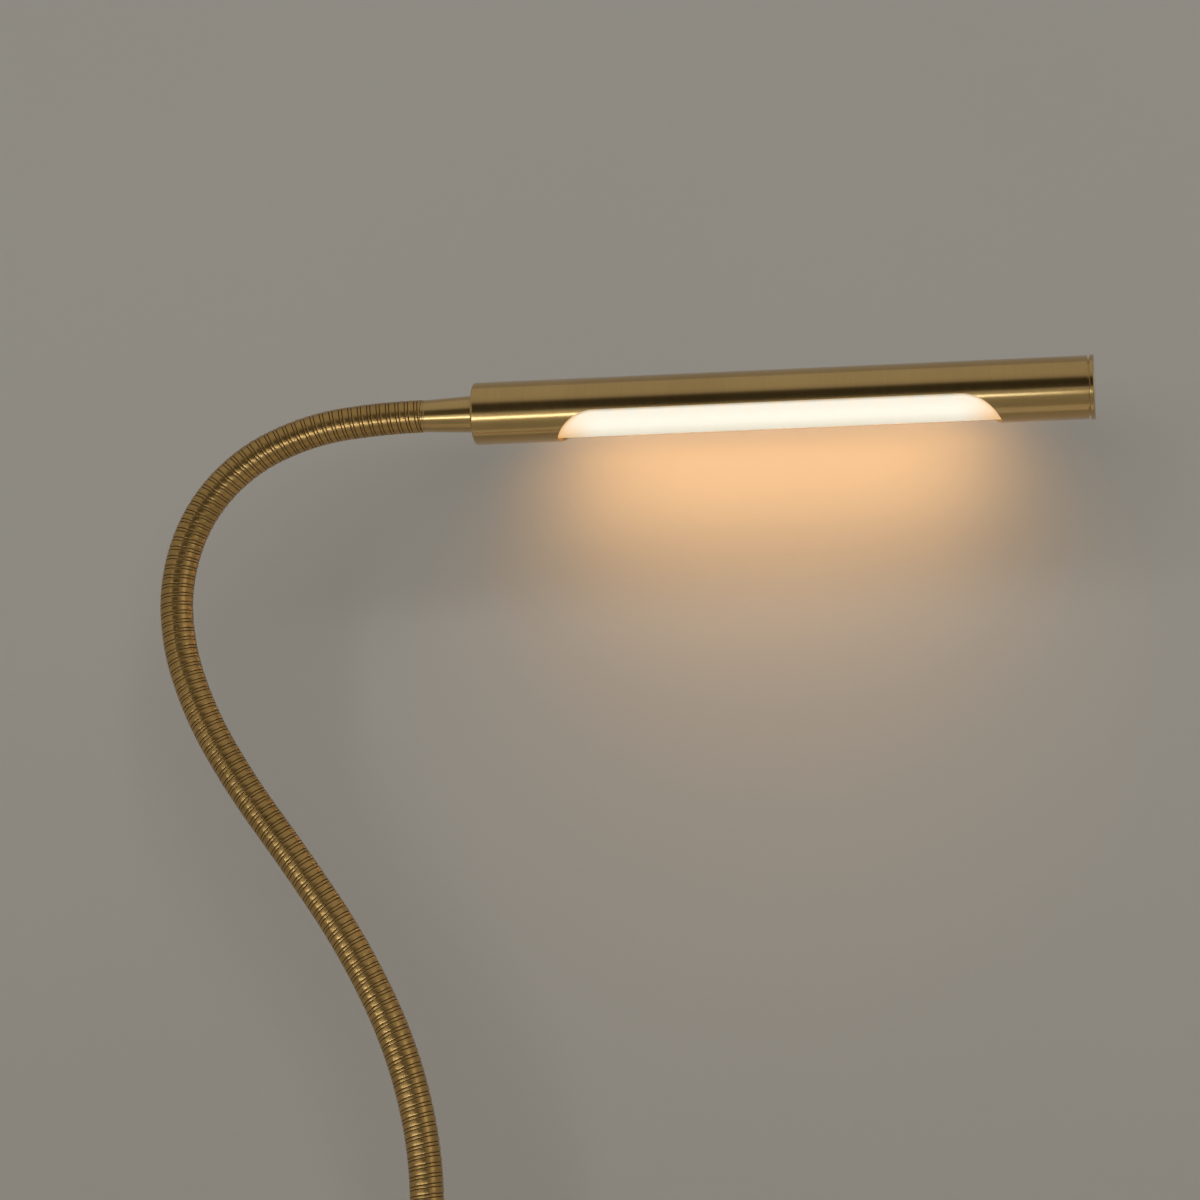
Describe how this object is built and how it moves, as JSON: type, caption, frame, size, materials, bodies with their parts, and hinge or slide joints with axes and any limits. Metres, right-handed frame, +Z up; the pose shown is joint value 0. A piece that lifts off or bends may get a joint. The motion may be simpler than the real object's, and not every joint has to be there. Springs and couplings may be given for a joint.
{
  "type": "clamp lamp",
  "caption": "Clamp lamp with a bendable ribbed neck, a swivelling tubular head with a lit window underneath, a push switch in the foot and a screw clamp.",
  "frame": {"origin": "on the jaw pad's lower face, which lies on the table top, straight below the neck's foot", "axes": "+Z up along the neck's foot, +X the way the head points and the side that the table enters the jaw from"},
  "size_m": [0.3725, 0.036, 0.5248],
  "materials": {
    "brass_satin": "fine brushed satin brass",
    "brass_neck": "satin brass, ribbed and lightly brushed round",
    "button_brass": "turned satin brass",
    "steel": "plain zinc-plated steel",
    "aluminium": "plain extrusion",
    "rubber_black": "matt black rubber",
    "board_green": "solder-masked circuit board",
    "board_white": "white solder mask",
    "plastic_black": "moulded, matt",
    "light_chip": "yellow phosphor gel",
    "diffuser_white": "milky, lit from behind with warm white",
    "wire_white": "soft plastic insulation"
  },
  "bodies": {
    "clamp": {"clamp_frame": "brass_satin", "jaw_pad": "rubber_black", "screw_bush": "brass_satin", "base_housing": "brass_satin", "housing_screws": "steel", "cable_gland": "rubber_black", "board_standoffs": "steel", "dimmer_board": "board_green", "dimmer_screws": "steel", "board_components": "plastic_black", "switch_body": "plastic_black", "lower_ferrule": "brass_satin", "neck_nut": "steel", "neck_segment_1": "brass_neck", "neck_lead_1": "wire_white"},
    "switch_button": {"switch_button": "button_brass", "switch_plunger": "plastic_black"},
    "pressure_foot": {"pressure_disc": "brass_satin", "pressure_pad": "rubber_black"},
    "clamp_screw": {"clamp_screw": "steel", "screw_knob": "brass_satin", "knob_pin": "steel"},
    "neck_2": {"neck_segment_2": "brass_neck", "neck_lead_2": "wire_white"},
    "neck_3": {"neck_segment_3": "brass_neck", "neck_lead_3": "wire_white"},
    "neck_4": {"neck_segment_4": "brass_neck", "neck_lead_4": "wire_white"},
    "neck_5": {"neck_segment_5": "brass_neck", "neck_lead_5": "wire_white"},
    "neck_6": {"neck_segment_6": "brass_neck", "neck_lead_6": "wire_white"},
    "neck_7": {"neck_segment_7": "brass_neck", "neck_lead_7": "wire_white"},
    "neck_8": {"neck_segment_8": "brass_neck", "neck_lead_8": "wire_white"},
    "neck_9": {"neck_segment_9": "brass_neck", "neck_lead_9": "wire_white", "upper_ferrule": "brass_satin", "swivel_washer": "plastic_black", "swivel_nut": "steel"},
    "head": {"head_tube": "brass_satin", "tip_cap": "brass_satin", "led_carrier": "aluminium", "led_board": "board_white", "led_chips": "light_chip", "led_board_screws": "steel", "diffuser": "diffuser_white", "head_wires": "wire_white"}
  },
  "joints": [
    {"name": "switch_press", "type": "slide", "parent": "clamp", "child": "switch_button", "axis": [0, 0, -1], "range_m": [0, 0.0012], "stiffness_N_per_m": 1500, "springref_m": -0.0006},
    {"name": "screw_travel", "type": "slide", "parent": "clamp", "child": "pressure_foot", "axis": [0, 0, 1], "range_m": [-0.024, 0.026]},
    {"name": "screw_turn", "type": "hinge", "parent": "pressure_foot", "child": "clamp_screw", "pos_m": [0.012, 0, -0.042], "axis": [0, 0, 1], "range_deg": [-6911, 7487]},
    {"name": "neck_bend_1", "type": "hinge", "parent": "clamp", "child": "neck_2", "pos_m": [-0.00131, 0, 0.09928], "axis": [0, 1, 0], "range_deg": [-18, 18]},
    {"name": "neck_bend_2", "type": "hinge", "parent": "neck_2", "child": "neck_3", "pos_m": [-0.01363, 0, 0.14594], "axis": [-0.9271, 0, -0.3749], "range_deg": [-18, 18]},
    {"name": "neck_bend_3", "type": "hinge", "parent": "neck_3", "child": "neck_4", "pos_m": [-0.03608, 0, 0.18874], "axis": [0, 1, 0], "range_deg": [-18, 18]},
    {"name": "neck_bend_4", "type": "hinge", "parent": "neck_4", "child": "neck_5", "pos_m": [-0.0638, 0, 0.22839], "axis": [0.8054, 0, 0.5928], "range_deg": [-18, 18]},
    {"name": "neck_bend_5", "type": "hinge", "parent": "neck_5", "child": "neck_6", "pos_m": [-0.09003, 0, 0.269], "axis": [0, 1, 0], "range_deg": [-18, 18]},
    {"name": "neck_bend_6", "type": "hinge", "parent": "neck_6", "child": "neck_7", "pos_m": [-0.10413, 0, 0.31494], "axis": [-0.9973, 0, -0.0729], "range_deg": [-18, 18]},
    {"name": "neck_bend_7", "type": "hinge", "parent": "neck_7", "child": "neck_8", "pos_m": [-0.09209, 0, 0.36085], "axis": [0, 1, 0], "range_deg": [-18, 18]},
    {"name": "neck_bend_8", "type": "hinge", "parent": "neck_8", "child": "neck_9", "pos_m": [-0.053, 0, 0.38775], "axis": [0.2903, 0, -0.9569], "range_deg": [-18, 18]},
    {"name": "head_swivel", "type": "hinge", "parent": "neck_9", "child": "head", "pos_m": [-0.00506, 0, 0.39303], "axis": [1, 0, 0], "range_deg": [-120, 120]}
  ],
  "couplings": [
    {"joint": "screw_travel", "follows": "screw_turn", "m_per_rad": 0.00019894}
  ]
}
